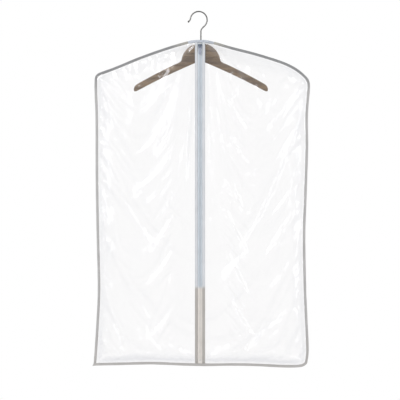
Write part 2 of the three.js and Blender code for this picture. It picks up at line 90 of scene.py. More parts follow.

# Heights from here to POST_HALF are along the zip, from its top.
STRIP_TOP = -1.0  # the strips end inside the hem, and the tapes just under its lower edge
STRIP_CENTRE = 10.6
STRIP_HALF = 3.95
STRIP_WALL = 0.42
STRIP_SEAMS = {"inner": -2.2, "outer": 2.4}  # rows of stitches, from the strip's middle
TAPE_TOP = -2.3
TAPE_SECTION = [(14.1, 1.3), (14.1, 1.75), (3, 1.8), (1.4, 1.85), (0.5, 1.8), (0.34, 1.55),
                (0.5, 1.3), (1.4, 1.27), (3, 1.3)]
CLOTH_BEND = -911  # below this the strips and tapes curve back into the foot's binding
CLOTH_END = -922.5
CLOTH_BACK = 2.95  # how far they go back
CHAIN = (-907.5, -7.1)  # its ends
COIL_TOP = -8.7
COIL_PITCH = 1.4
COIL_WIRE = 0.31
COIL_LOOP = (1.62, 0.78)  # half a loop's width and depth
COIL_CENTRE = (1.42, -0.16)
POST_HALF = 0.5  # the slider's post: half its width, and how far inside the slider's box it starts
POST_FRONT = 5.55
POST_TOP = 1.6

OUTLINE_STEP = 1.2
FILM_ROWS = 180  # of cells about 5 mm high
FILM_COLUMNS = 63  # across half the bag
FRONT_FOLD = 4.6  # the most that a fold stands out
BACK_FOLD = 7
GROWTH = 0.012  # how much larger than its frame a sheet is cut
MOST_BUCKLE = {"film_front_left": 3.5, "film_front_right": 3.5, "film_back": 5}

# ---------- the bag's outline, as [x, z]

TOP_LEFT = (-297, -181.5)
TOP_RIGHT = (297.5, -184.2)
FOOT_LEFT = (-303.6, -1006.3)
FOOT_RIGHT = (300.5, -1002)


def spline(start, *stretches):
    """Points along Catmull-Rom curves through the knots of each stretch, in metres."""
    steps = 12
    points = [start]
    for stretch in stretches:
        knots = np.array([points[-1], *stretch], float)
        last = len(knots) - 1
        for i in range(last):
            a, b, c, d = (knots[k] for k in (max(i - 1, 0), i, i + 1, min(i + 2, last)))
            for step in range(1, steps + 1):
                t = step / steps
                p = 0.5 * (2 * b + (c - a) * t + (2 * a - 5 * b + 4 * c - d) * t**2
                           + (3 * b - a - 3 * c + d) * t**3)
                points.append(tuple(p))
    return np.array(points) * MM


TOP = spline(
    TOP_LEFT,
    [(-291, -176.8), (-276, -171), (-241.4, -158.2), (-172.7, -130), (-104, -105.6), (-52.6, -90),
     (-28, -84)],
    [(-8, -82.8), (12, -83), (40, -88.2), (90, -102.4), (159, -120.2), (227.7, -141.8), (262, -157.2),
     (284, -171.8), TOP_RIGHT],
)
LEFT_SIDE = spline(
    TOP_LEFT,
    [(-299.8, -188), (-300.6, -205), (-300.2, -235), (-297.8, -310), (-297.4, -470), (-294.6, -640),
     (-291.4, -790), (-295.7, -892), (-301.6, -984), FOOT_LEFT],
)
RIGHT_SIDE = spline(
    TOP_RIGHT,
    [(304.8, -193.4), (308.1, -206), (307.6, -226), (302.6, -292), (303, -389), (298.8, -526),
     (295, -640), (298, -801), (304, -938), (304.3, -976), FOOT_RIGHT],
)
FOOT = spline(
    FOOT_LEFT,
    [(-224, -1004.6), (-140, -1002.9), (-62, -1005.8), (8, -1007.6), (93, -1006.7), (164.7, -1008.2),
     (240, -1011.6), (285, -1010.2), FOOT_RIGHT],
)


def lengths_along(points):
    """How far along a line each of its points is."""
    return np.concatenate([[0], np.cumsum(np.linalg.norm(np.diff(points, axis=0), axis=1))])


def resampled(points, spacing):
    """The same line with its points evenly spaced."""
    along = lengths_along(points)
    at = np.linspace(0, along[-1], max(2, round(along[-1] / spacing)) + 1)
    return np.stack([np.interp(at, along, column) for column in points.T], axis=1)


OUTLINE = resampled(
    np.concatenate([TOP, RIGHT_SIDE[1:], FOOT[-2::-1], LEFT_SIDE[-2:0:-1]]), OUTLINE_STEP * MM
)
OUTLINE_TREE = kdtree.KDTree(len(OUTLINE))
for i, (x, z) in enumerate(OUTLINE):
    OUTLINE_TREE.insert((x, 0, z), i)
OUTLINE_TREE.balance()


def z_on(side, x):
    """The height of the top or the foot at x."""
    return np.interp(x, side[:, 0], side[:, 1])


def x_on(side, z):
    """Where the left or right side is at a height."""
    return np.interp(-z, -side[:, 1], side[:, 0])


def smooth(t):
    """0 up to t = 0 and 1 from t = 1, with a soft step between."""
    s = min(max(t, 0), 1)
    return s * s * (3 - 2 * s)


def rough(x, z, across, down, seed):
    """Soft noise whose features have the given sizes in metres, from about -1 to 1."""
    return noise.noise(Vector((x / across, z / down, seed)))


def sway(x, z):
    """How far the bag's free edge and the film by it wave out of the bag's plane."""
    free = smooth((abs(x) - 0.06) / 0.12) * smooth((-0.2 - z) / 0.12)
    return 3.2 * MM * free * rough(x, z, 0.16, 0.21, 4.3)


# ---------- mesh helpers


def in_scene(name, data):
    """A new object in the scene."""
    made = bpy.data.objects.new(name, data)
    bpy.context.scene.collection.objects.link(made)
    return made


def new_piece(name, points, faces, look, body, slot):
    """A visible piece that moves with a body."""
    mesh = bpy.data.meshes.new(name)
    mesh.from_pydata([tuple(map(float, p)) for p in points], [], faces)
    mesh.validate()
    mesh.materials.append(look)
    mesh.shade_smooth()
    mesh.update()
    return placed(mesh, body)


def placed(mesh, body):
    """The mesh as a piece of the same name."""
    piece = in_scene(mesh.name, mesh)
    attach(piece, body)
    return piece


def turned_outwards(piece):
    """The same piece with its faces pointing out."""
    mesh = bmesh.new()
    mesh.from_mesh(piece.data)
    bmesh.ops.recalc_face_normals(mesh, faces=mesh.faces)
    mesh.to_mesh(piece.data)
    mesh.free()
    return piece


def loft(rings, endless=False):
    """Points and faces of a tube through rings of points; an endless one runs back into its start."""
    count = len(rings[0])
    points = [p for ring in rings for p in ring]
    faces = []
    for r in range(len(rings) if endless else len(rings) - 1):
        this, following = r * count, (r + 1) % len(rings) * count
        for i in range(count):
            j = (i + 1) % count
            faces.append((this + i, this + j, following + j, following + i))
    if not endless:
        last = (len(rings) - 1) * count
        faces.append(tuple(range(count)))
        faces.append(tuple(last + i for i in reversed(range(count))))
    return points, faces


def circle(sides):
    """The cosines and sines of evenly spaced angles."""
    angles = [2 * math.pi * k / sides for k in range(sides)]
    return [(math.cos(angle), math.sin(angle)) for angle in angles]


def tube_rings(line, radii, sides):
    """Rings round a line of points in space, with one radius for each point."""
    line = [Vector(p) for p in line]
    rings = []
    side = None
    for i, p in enumerate(line):
        run = (line[min(i + 1, len(line) - 1)] - line[max(i - 1, 0)]).normalized()
        if side is None:
            side = run.orthogonal().normalized()
        side = (side - run * side.dot(run)).normalized()
        other = run.cross(side)
        rings.append([p + (side * cos + other * sin) * radii[i] for cos, sin in circle(sides)])
    return rings


def joined(parts):
    """Several (points, faces) as one."""
    points, faces = [], []
    for more_points, more_faces in parts:
        start = len(points)
        points.extend(more_points)
        faces.extend(tuple(start + i for i in face) for face in more_faces)
    return points, faces


def solid(name, node, shape, look, body, slot):
    """A closed piece that takes a CAD node's place; its shape is (points, faces)."""
    piece = turned_outwards(new_piece(name, *shape, look, body, slot))
    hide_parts(node)
    return piece


def softened(piece, voxel, rounds):
    """Rounds a piece all over; voxel is its mesh's step in millimetres."""
    remesh = piece.modifiers.new("even", "REMESH")
    remesh.mode = "VOXEL"
    remesh.voxel_size = voxel * MM
    remesh.use_smooth_shade = True
    soften = piece.modifiers.new("soften", "SMOOTH")
    soften.factor = 0.5
    soften.iterations = rounds
    applied(piece)


def applied(piece):
    """The piece's modifiers, made part of its mesh."""
    graph = bpy.context.evaluated_depsgraph_get()
    graph.update()
    made = bpy.data.meshes.new_from_object(piece.evaluated_get(graph))
    piece.modifiers.clear()
    piece.data = made
    return piece


# ---------- materials


class Look:
    """The nodes of a material or of the world."""

    def __init__(self, name, kind=bpy.data.materials, place="Object"):
        self.made = kind.new(name)
        self.made.use_nodes = True
        self.tree = self.made.node_tree
        self.tree.nodes.clear()
        self.place = self.node("ShaderNodeTexCoord").outputs[place]

    def node(self, kind, inputs=None, **settings):
        made = self.tree.nodes.new(kind)
        for key, value in settings.items():
            setattr(made, key, value)
        for name, value in (inputs or {}).items():
            socket = made.inputs[name]
            if isinstance(value, bpy.types.NodeSocket):
                self.tree.links.new(value, socket)
            else:
                bare = socket.type == "RGBA" and len(value) == 3
                socket.default_value = (*value, 1) if bare else value
        return made

    def calc(self, operation, a, b=0.0, c=0.0):
        inputs = {0: a, 1: b, 2: c}
        return self.node("ShaderNodeMath", inputs, operation=operation).outputs[0]

    def mapped(self, scale=(1, 1, 1), turn=(0, 0, 0), shift=(0, 0, 0)):
        inputs = {"Vector": self.place, "Scale": scale, "Rotation": turn, "Location": shift}
        return self.node("ShaderNodeMapping", inputs).outputs[0]

    def noise(self, scale, detail=3.0, roughness=0.55, vector=None, distortion=0.0):
        inputs = {"Vector": vector or self.place, "Scale": scale, "Detail": detail,
                  "Roughness": roughness, "Distortion": distortion}
        return self.node("ShaderNodeTexNoise", inputs).outputs["Fac"]

    def axis(self, letter, vector=None):
        return self.node("ShaderNodeSeparateXYZ", {"Vector": vector or self.place}).outputs[letter]

    def ramp(self, value, *stops):
        """A grey or colour for each value; a stop is (place, colour)."""
        made = self.node("ShaderNodeValToRGB", {"Fac": value})
        elements = made.color_ramp.elements
        while len(elements) < len(stops):
            elements.new(0.5)
        for element, (place, colour) in zip(elements, stops):
            element.position = place
            element.color = (*colour, 1) if hasattr(colour, "__len__") else (colour,) * 3 + (1,)
        return made.outputs["Color"]

    def between(self, value, low, high, to_low=0.0, to_high=1.0):
        inputs = {"Value": value, 1: low, 2: high, 3: to_low, 4: to_high}
        return self.node("ShaderNodeMapRange", inputs).outputs[0]

    def mix(self, share, a, b, blend="MIX"):
        inputs = {0: share, 6: a, 7: b}
        return self.node("ShaderNodeMix", inputs, data_type="RGBA", blend_type=blend).outputs[2]

    def bump(self, height, distance, strength=1.0, after=None):
        inputs = {"Height": height, "Distance": distance, "Strength": strength}
        if after is not None:
            inputs["Normal"] = after
        return self.node("ShaderNodeBump", inputs).outputs[0]

    def principled(self, **inputs):
        named = {name.replace("_", " "): value for name, value in inputs.items()}
        return self.node("ShaderNodeBsdfPrincipled", named).outputs[0]

    def done(self, shader):
        self.node("ShaderNodeOutputMaterial", {"Surface": shader})
        return self.made

    def painted(self, **inputs):
        return self.done(self.principled(**inputs))

    def over_clear(self, share, skin, through=(1, 1, 1)):
        """The finished material: clear, with a share of skin."""
        clear = self.node("ShaderNodeBsdfTransparent", {"Color": through}).outputs[0]
        return self.done(self.node("ShaderNodeMixShader", {0: share, 1: clear, 2: skin}).outputs[0])

    def weave(self):
        """Height of a plain weave cut on the bias, with threads of uneven thickness."""
        turned = self.mapped(turn=(0, math.pi / 4, 0))
        wander = self.noise(260, 2, 0.5)
        across, down = (
            self.calc("MULTIPLY_ADD", self.axis(letter, turned), 2 * math.pi / (THREAD_PERIOD * MM), wander)
            for letter in "XZ"
        )
        return self.calc("MULTIPLY", self.calc("SINE", across), self.calc("SINE", down))

    def woven(self, base, mottle, painted_weave_shade, unevenness, least_matt, sheen):
        """Cotton tape of a colour, with painted shade in its weave: its valleys are darkened and its
        tops lightened by the two given values; unevenness is the scale, depth and strength of its soft
        waves."""
        threads = self.weave()
        # painted shade: the base colour is darker in the weave's valleys and lighter on its tops
        base = self.mix(1.0, base, self.between(threads, -1, 1, *painted_weave_shade), "MULTIPLY")
        fuzzy = self.calc("MULTIPLY_ADD", self.noise(2600, 2, 0.6), 0.5, threads)
        scale, depth, strength = unevenness
        normal = self.bump(fuzzy, 0.00016, 0.8)
        normal = self.bump(self.noise(scale, 2, 0.5), depth, strength, normal)
        matt = self.between(mottle, 0.3, 0.7, least_matt, 0.8)
        return self.painted(Base_Color=base, Roughness=matt, Normal=normal, Sheen_Weight=sheen,
                            Sheen_Roughness=0.4, Specular_IOR_Level=0.35)


def colour(value):
    """A linear colour from one written as on a screen, 0 to 255."""
    return tuple(((v / 255 + 0.055) / 1.055) ** 2.4 if v > 10 else v / 255 / 12.92 for v in value)


def film_look():
    """Clear vinyl: it mirrors a little head on and more where a wrinkle turns it away, has a trace of
    haze, and is greyer seen along the sheet, where light takes a longer way through it."""
    look = Look("film")
    creases = look.noise(30, 4, 0.5, look.mapped((1, 1, 0.5), (0, 0.6, 0)), 0.6)
    ripple = look.noise(8, 2, 0.45, look.mapped((1, 1, 0.5), (0, -0.5, 0)))
    peel = look.noise(420, 2, 0.5)
    normal = look.bump(ripple, 0.008, 0.6)
    normal = look.bump(creases, 0.002, 0.7, normal)
    normal = look.bump(peel, 0.00006, 0.25, normal)
    turned = look.node("ShaderNodeLayerWeight", {"Blend": 0.8, "Normal": normal}).outputs["Facing"]
    cloudy = look.between(look.noise(5, 3, 0.55), 0.35, 0.75, 0.012, 0.038)
    glance = look.node("ShaderNodeFresnel", {"IOR": 1.5, "Normal": normal}).outputs[0]
    share = look.calc("MULTIPLY_ADD", look.calc("POWER", turned, 0.7), 0.3, cloudy)
    share = look.calc("MULTIPLY_ADD", glance, 0.6, share)
    gloss = look.between(look.noise(55, 4, 0.6), 0.3, 0.8, 0.06, 0.17)
    slant = look.node("ShaderNodeLayerWeight", {"Blend": 0.25}).outputs["Facing"]
    through = look.mix(slant, (0.993, 0.991, 0.991), (0.80, 0.82, 0.85))
    tint = look.mix(look.noise(3, 2, 0.5), colour((242, 241, 244)), colour((234, 236, 241)))
    skin = look.principled(Base_Color=tint, Metallic=0.6, Roughness=gloss, IOR=1.52, Normal=normal)
    return look.over_clear(share, skin, through)


def hem_look():
    """Milky folded film that still lets some light through."""
    look = Look("pale_binding")
    normal = look.bump(look.noise(90, 2, 0.5), 0.0004, 0.5)
    normal = look.bump(look.noise(900, 2, 0.5), 0.00006, 0.4, normal)
    share = look.between(look.noise(45, 2, 0.5), 0.3, 0.7, 0.62, 0.74)
    tint = look.mix(look.noise(30, 2, 0.5), colour((198, 204, 214)), colour((212, 217, 225)))
    gloss = look.between(look.noise(200, 3, 0.6), 0.3, 0.7, 0.2, 0.36)
    skin = look.principled(Base_Color=tint, Roughness=gloss, IOR=1.5, Normal=normal)
    return look.over_clear(share, skin, (0.95, 0.96, 0.975))


def zip_cloth_look(name, upper_painted_light, lower_painted_light, spread, sheen):
    """The zip's cloth, with dull spots and with painted light: one tone above the change and another below
    it.
    """
    look = Look(name)
    mottle = look.noise(24, 4, 0.6)
    ragged = 0.008
    height = look.calc("MULTIPLY_ADD", mottle, ragged, look.axis("Z"))
    # painted light: the cloth takes the upper tone above the change and the lower one below it
    above = look.between(height, *(z * MM + ragged / 2 for z in PAINTED_LIGHT_CHANGE))
    base = look.mix(above, colour(lower_painted_light), colour(upper_painted_light))
    dull = look.mix(above, colour([v - spread for v in lower_painted_light]), colour([v - spread for v in upper_painted_light]))
    base = look.mix(look.between(mottle, 0.3, 0.7), dull, base)
    return look.woven(base, mottle, (0.88, 1.04), (180, 0.0006, 0.35), 0.62, sheen)


def edge_binding_look():
    """The edge tape, with painted shade that makes it darkest over the shoulders; it is palest at the foot
    and beside the hook opening.
    """
    look = Look("grey_binding")
    mottle = look.noise(20, 4, 0.6)
    height = look.axis("Z")
    at_foot = look.between(height, -1.0, -0.9, 1, 0)
    # painted shade: the tape is darkened over the shoulders, but not beside the hook opening
    shoulder_shade_share = look.between(height, -0.23, -0.175, 0, 1)
    by_opening = look.between(look.calc("ABSOLUTE", look.axis("X")), 0.04, 0.085, 1, 0)
    shoulder_shade = look.mix(by_opening, colour((146, 147, 149)), colour((184, 181, 173)))
    base = look.mix(at_foot, colour((193, 192, 192)), colour((194, 191, 189)))
    base = look.mix(shoulder_shade_share, base, shoulder_shade)
    base = look.mix(look.between(mottle, 0.35, 0.7, 0, 0.22), base, colour((120, 119, 117)))
    return look.woven(base, mottle, (0.85, 1.05), (150, 0.0007, 0.4), 0.6, 0.2)


def thread_look(name, tone):
    """Twisted sewing thread, with painted shade: it is darker where its twist is low."""
    look = Look(name)
    twist = look.node("ShaderNodeTexWave", {
        "Vector": look.mapped(turn=(0.5, 0.6, 0.3)), "Scale": 900, "Distortion": 1.5, "Detail": 1.0,
    }).outputs["Fac"]
    # painted shade: the thread is darker in the low parts of its twist
    base = look.mix(twist, colour([0.86 * v for v in tone]), colour(tone))
    normal = look.bump(twist, 0.00008, 0.8)
    return look.painted(Base_Color=base, Roughness=look.between(twist, 0, 1, 0.55, 0.42),
                        Normal=normal, Sheen_Weight=0.3)


def coil_look():
    """Satin nylon, in the tones of the tape around it, with the same painted light: pale blue above the
    change and warm white below it.
    """
    look = Look("zip_coil")
    cloud = look.noise(160, 3, 0.5)
    # painted light: the chain is painted pale blue above the change and warm white below it
    above = look.between(look.axis("Z"), *(z * MM for z in PAINTED_LIGHT_CHANGE))
    tone = look.mix(above, colour((250, 246, 241)), colour((224, 232, 240)))
    base = look.mix(cloud, colour((198, 198, 197)), tone)
    base = look.mix(0.7, base, tone)
    normal = look.bump(look.noise(1500, 2, 0.5), 0.00004, 0.5)
    return look.painted(Base_Color=base, Roughness=look.between(cloud, 0.3, 0.7, 0.28, 0.42),
                        Normal=normal, IOR=1.53)


def lacquer_look(name, body, bare):
    """Lacquered zinc: fine cast pebbling, with small chips down to brighter metal."""
    look = Look(name)
    chips = look.ramp(look.noise(900, 6, 0.75), (0.63, 0.0), (0.68, 1.0))
    cloud = look.noise(140, 3, 0.5)
    base = look.mix(cloud, colour(body), colour([1.12 * v for v in body]))
    base = look.mix(chips, base, colour(bare))
    normal = look.bump(look.noise(2200, 3, 0.6), 0.00006, 0.7)
    normal = look.bump(look.calc("MULTIPLY", chips, -1.0), 0.00005, 0.6, normal)
    metal = look.calc("MULTIPLY_ADD", chips, 0.4, 0.45)
    return look.painted(Base_Color=base, Metallic=metal, Normal=normal, Coat_Weight=0.25,
                        Roughness=look.between(cloud, 0.3, 0.7, 0.3, 0.45), Coat_Roughness=0.2)


def steel_look(name, body):
    """Drawn wire or turned steel, with fine lines along Z and soft smudges."""
    look = Look(name)
    lines = look.noise(900, 3, 0.6, look.mapped((1, 1, 0.06)))
    smudge = look.noise(70, 4, 0.6)
    base = look.mix(smudge, colour([0.88 * v for v in body]), colour([1.1 * v for v in body]))
    normal = look.bump(lines, 0.00005, 0.6)
    gloss = look.calc("MULTIPLY_ADD", lines, 0.14, look.between(smudge, 0.3, 0.7, 0.16, 0.28))
    return look.painted(Base_Color=base, Metallic=1.0, Roughness=gloss, Normal=normal)


def wood_look(name, turn, seed):
    """Beech under satin varnish, with its grain along an arm."""
    look = Look(name)
    along = look.mapped((5, 30, 62), (0, turn, 0), (seed, seed, seed))
    rings = look.noise(1.0, 5, 0.6, along, 0.35)
    fibres = look.noise(1.0, 4, 0.65, look.mapped((26, 420, 520), (0, turn, 0), (seed, 0, seed)))
    flecks = look.ramp(look.noise(1.0, 3, 0.6, look.mapped((90, 900, 1400), (0, turn, 0))),
                       (0.62, 0.0), (0.7, 1.0))
    base = look.ramp(rings, (0.3, colour((94, 73, 50))), (0.46, colour((152, 127, 95))),
                     (0.57, colour((104, 82, 57))), (0.72, colour((166, 141, 109))))
    base = look.mix(look.between(fibres, 0.35, 0.7, 0, 0.4), base, colour((92, 72, 50)))
    base = look.mix(look.calc("MULTIPLY", flecks, 0.6), base, colour((76, 58, 42)))
    normal = look.bump(fibres, 0.00012, 0.45)
    normal = look.bump(flecks, 0.0001, -0.5, normal)
    gloss = look.between(rings, 0.3, 0.7, 0.32, 0.46)
    return look.painted(Base_Color=base, Roughness=gloss, Normal=normal, Coat_Weight=0.45,
                        Coat_Roughness=0.22)


def floor_look():
    """A matt pale floor that thins out towards its edge, so that it has no hard horizon."""
    look = Look("floor")
    cloud = look.noise(1.5, 3, 0.5)
    base = look.mix(cloud, colour((222, 222, 222)), colour((228, 228, 227)))
    reach = look.node("ShaderNodeVectorMath", {0: look.mapped((1, 1, 0))}, operation="LENGTH")
    there = look.between(reach.outputs["Value"], 0.5, FLOOR_RADIUS, 1, 0)
    return look.over_clear(there, look.principled(Base_Color=base, Roughness=0.85))


FILM = film_look()
HEM = hem_look()
GREY_EDGE = edge_binding_look()
# The upper and lower tones of the strips and tapes are painted light, not two colours of cloth.
GREY_STRIP = zip_cloth_look("zip_strip", (223, 226, 231), (187, 183, 179), 10, 0.25)
TAPE_CLOTH = zip_cloth_look("zip_tape", (227, 235, 242), (250, 245, 240), 8, 0.15)
EDGE_THREAD = thread_look("edge_thread", (186, 185, 183))
PALE_THREAD = thread_look("pale_thread", (214, 215, 218))
COIL = coil_look()
STOP_METAL = lacquer_look("stop_metal", (196, 195, 192), (214, 213, 210))
SLATE = lacquer_look("slider_lacquer", (88, 98, 114), (160, 163, 168))
BLUE_GREY = lacquer_look("pull_lacquer", (140, 145, 160), (176, 178, 182))
STEEL = steel_look("hook_steel", (112, 111, 109))
SLEEVE_STEEL = steel_look("sleeve_steel", (176, 172, 162))

# ---------- the film panels


def edge_facts(x, z):
    """Distance to the outline, and how far along the outline the nearest point is."""
    _, index, distance = OUTLINE_TREE.find((x, 0, z))
    return distance, index * OUTLINE_STEP * MM


def spread_at(x, z):
    """How far apart the edges of the hook opening stand, as a share of the most."""
    if z <= TOP_LEFT[1] * MM:
        return 0.0
    return smooth((OPENING_HALF - abs(x) / MM) / (OPENING_HALF - OPENING_FLAT))


def layer_depth(x, z, distance, most, rise, spread):
    """How far a layer of film stands off the bag's mid plane."""
    near = math.exp(-max(0.0, distance / MM - FLAT_EDGE) / rise)
    return (LAYER_Y + most * (1 - near) + spread * spread_at(x, z) * near) * MM


def zip_y(z):
    """The depth of the zip's film edge at a height."""
    share = (z / MM - ZIP_TOP[1]) / (ZIP_BOTTOM[1] - ZIP_TOP[1])
    return (ZIP_TOP[0] + (ZIP_BOTTOM[0] - ZIP_TOP[0]) * share) * MM


def zip_hold(x, z, distance):
    """How firmly the zip holds the front film, from 1 on it to 0 away from it."""
    blend = 1.5 + 90 * smooth((distance / MM - FLAT_EDGE) / 60)
    across = 1 - smooth((abs(x / MM - ZIP_X) - ZIP_FLAT_HALF) / blend)
    return float(across * smooth((z / MM - ZIP_BOTTOM[1] + 4) / 3.8))


def front_y(x, z, distance):
    """The front layer's smooth shape, drawn to the zip."""
    free = -layer_depth(x, z, distance, FRONT_DEPTH, FRONT_RISE, OPENING_FRONT)
    hold = zip_hold(x, z, distance)
    return free + (zip_y(z) - free) * hold


def back_y(x, z, distance):
    """The back layer's smooth shape."""
    return layer_depth(x, z, distance, BACK_DEPTH, BACK_RISE, OPENING_BACK)


def crease(value, width):
    """A ridge where a noise value passes through zero."""
    return math.exp(-((value / width) ** 2))


def wrinkles(x, z, distance, along, seed):
    """How far the film stands out from its smooth shape: slack folds that slant from the shoulders,
    crumples near the top, puckers along the stitched edge, and soft waves everywhere."""
    away = smooth((distance - 6 * MM) / (30 * MM))
    by_edge = math.exp(-max(distance - 8 * MM, 0) / (16 * MM))
    by_edge *= smooth((distance - 5 * MM) / (9 * MM))
    slant = 0.7 if x > 0 else -0.7
    u = x * math.cos(slant) - z * math.sin(slant)
    v = x * math.sin(slant) + z * math.cos(slant)
    soft = rough(x, z, 0.17, 0.30, seed) + 0.5 * rough(x, z, 0.08, 0.12, seed + 3)
    bend = 0.02 * rough(x, z, 0.1, 0.1, seed + 5)
    fold = crease(rough(u + bend, v, 0.052, 0.30, seed + 7), 0.16)
    fold *= max(0.0, rough(x, z, 0.11, 0.16, seed + 9) + 0.18)
    hang = crease(rough(x + bend, z, 0.045, 0.42, seed + 11), 0.15)
    hang *= max(0.0, rough(x, z, 0.13, 0.2, seed + 13))
    top = math.exp(-max(0.0, -0.16 - z) / 0.09)
    crumple = crease(rough(x + bend, z + bend, 0.03, 0.035, seed + 15), 0.2) * top
    pucker = rough(along, distance * 0.35, 0.016, 0.02, seed + 17)
    slack = away * (2.0 * soft + 3.4 * fold + 2.6 * hang + 1.5 * crumple)
    return MM * (slack + 1.7 * by_edge * pucker)


def patch(side, other, columns):
    """A grid of [x, z] that fills the space between the top, the foot and two lines (a Coons patch)."""
    u = np.linspace(0, 1, columns)[None, :, None]
    v = np.linspace(0, 1, FILM_ROWS)[:, None, None]
    near, far = (line(v[:, 0, 0])[:, None] for line in (side, other))
    across = (near + (far - near) * u)[:, :, 0]
    above = np.stack([across[0], z_on(TOP, across[0])], axis=1)[None]
    below = np.stack([across[-1], z_on(FOOT, across[-1])], axis=1)[None]
    grid = above * (1 - v) + below * v + near * (1 - u) + far * u
    corners = near[0] * (1 - v) * (1 - u) + far[0] * (1 - v) * u
    return grid - corners - near[-1] * v * (1 - u) - far[-1] * v * u


def side_line(side):
    """Points down a side of the bag, for shares v of its height."""
    def line(v):
        z = side[0, 1] + (side[-1, 1] - side[0, 1]) * v
        return np.stack([x_on(side, z), z], axis=1)
    return line


def straight_line(x):
    """Points straight down the bag from its top to its foot."""
    def line(v):
        top, foot = z_on(TOP, x), z_on(FOOT, x)
        return np.stack([np.full_like(v, x), top + (foot - top) * v], axis=1)
    return line


def film_sheet(name, node, grid, depth, out, seed, cap):
    """A sheet of film over a grid of [x, z]. depth gives its smooth shape and out is the way it faces."""
    rows, columns = grid.shape[:2]
    points, free = [], []
    for x, z in grid.reshape(-1, 2):
        distance, along = edge_facts(x, z)
        hold = zip_hold(x, z, distance) if out < 0 else 0.0
        near_hook = smooth((0.075 - abs(x)) / 0.04) * smooth((z + 0.16) / 0.05)
        loose = (1 - hold) * (1 - 0.75 * near_hook)
        lift = wrinkles(x, z, distance, along, seed) * loose
        y = depth(x, z, distance) + out * cap * math.tanh(lift / cap) + sway(x, z)
        points.append((x, y, z))
        free.append(loose * smooth((distance - 4.5 * MM) / (12 * MM)))
    faces = []
    for r in range(rows - 1):
        for c in range(columns - 1):
            a = r * columns + c
            faces.append((a, a + columns, a + columns + 1, a + 1))
    piece = new_piece(name, points, faces, FILM, "bag", "film")
    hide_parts(node)
    return piece, np.array(free)


def settled(piece, free, cap, growth):
    """Lets a sheet that is cut slightly larger than its frame buckle, no point moving more than cap."""
    scene = bpy.context.scene
    held = piece.vertex_groups.new(name="held")
    for i, loose in enumerate(free):
        held.add([i], 1 - float(loose), "REPLACE")
    before = np.array([v.co for v in piece.data.vertices])
    cloth = piece.modifiers.new("cloth", "CLOTH")
    facts = cloth.settings
    facts.quality = 6
    facts.mass = 0.1
    facts.tension_stiffness = facts.compression_stiffness = 12
    facts.shear_stiffness = 6
    facts.bending_stiffness = 0.4
    facts.vertex_group_mass = "held"
    facts.pin_stiffness = 0.6
    facts.shrink_min = -growth
    facts.effector_weights.gravity = 0.15
    cloth.collision_settings.use_collision = False
    frames = 24
    cloth.point_cache.frame_start = 1
    cloth.point_cache.frame_end = frames
    for number in range(1, frames + 1):
        scene.frame_set(number)
    shown = piece.evaluated_get(bpy.context.evaluated_depsgraph_get())
    after = np.array([v.co for v in shown.data.vertices])
    piece.modifiers.clear()
    piece.vertex_groups.clear()
    scene.frame_set(1)
    move = after - before
    size = np.linalg.norm(move, axis=1, keepdims=True)
    move *= cap * np.tanh(size / cap) / np.maximum(size, 1e-9)
    piece.data.vertices.foreach_set("co", (before + move).ravel())
    piece.data.update()


def finer(piece):
    """The same sheet with every cell split in four along a smooth surface."""
    split = piece.modifiers.new("finer", "SUBSURF")
    split.levels = split.render_levels = 1
    applied(piece)


def make_film():
    """The three sheets, each with how free its points are to move."""
    left, right = side_line(LEFT_SIDE), side_line(RIGHT_SIDE)
    to_zip, from_zip = (straight_line((ZIP_X + sign * ZIP_FILM_EDGE) * MM) for sign in (-1, 1))
    sheets = {}
    for name, node, grid, depth, out, seed, fold in (
        ("film_front_left", "front_panel_left", patch(left, to_zip, FILM_COLUMNS),
         front_y, -1, 1.7, FRONT_FOLD),
        ("film_front_right", "front_panel_right", patch(from_zip, right, FILM_COLUMNS),
         front_y, -1, 8.2, FRONT_FOLD),
        ("film_back", "back_panel", patch(left, right, 2 * FILM_COLUMNS), back_y, 1, 31.4, BACK_FOLD),
    ):
        sheets[name] = film_sheet(name, node, grid, depth, out, seed, fold * MM)
    return sheets


# ---------- bindings


def framed(points):
    """A line of points in space as (point, direction towards the bag's middle)."""
    points = [Vector(p) for p in points]
    frames = []
    for i, p in enumerate(points):
        before = points[max(i - 2, 0)]
        after = points[min(i + 2, len(points) - 1)]
        run = math.hypot(after.x - before.x, after.z - before.z)
        frames.append((p, Vector((before.z - after.z, 0, after.x - before.x)) / run))
    return frames


def folded(half, slot, wall, dimple=0.0):
    """A tape folded over an edge, as [towards the middle, depth] in millimetres."""
    outer = slot + wall
    turn = -half + outer
    front = [(half, 0.8), (half - 0.25, 1), (half * 0.45, 1 - dimple), (0.1 * half, 1 - 0.4 * dimple),
             (turn + 0.2, 1)]
    arc = [(turn - outer * math.sin(a), math.cos(a)) for a in np.linspace(0.25, math.pi - 0.25, 6)]
    outside = [(a, -outer * b) for a, b in front]
    outside += [(a, -outer * b) for a, b in arc]
    outside += [(a, outer * b) for a, b in reversed(front)]
    inside = [(half, slot), (0, slot), (turn, slot), (turn - slot, 0), (turn, -slot), (0, -slot),
              (half, -slot)]
    return outside + inside


def tape_piece(name, frames, section, look, slot, node):
    """section(i, how far along) gives the profile at each frame."""
    rings = []
    along = 0.0
    for i, (p, inward) in enumerate(frames):
        if i:
            along += (p - frames[i - 1][0]).length
        profile = section(i, along)
        rings.append([p + inward * (a * MM) + Vector((0, b * MM, 0)) for a, b in profile])
    return solid(name, node, loft(rings), look, "bag", slot)


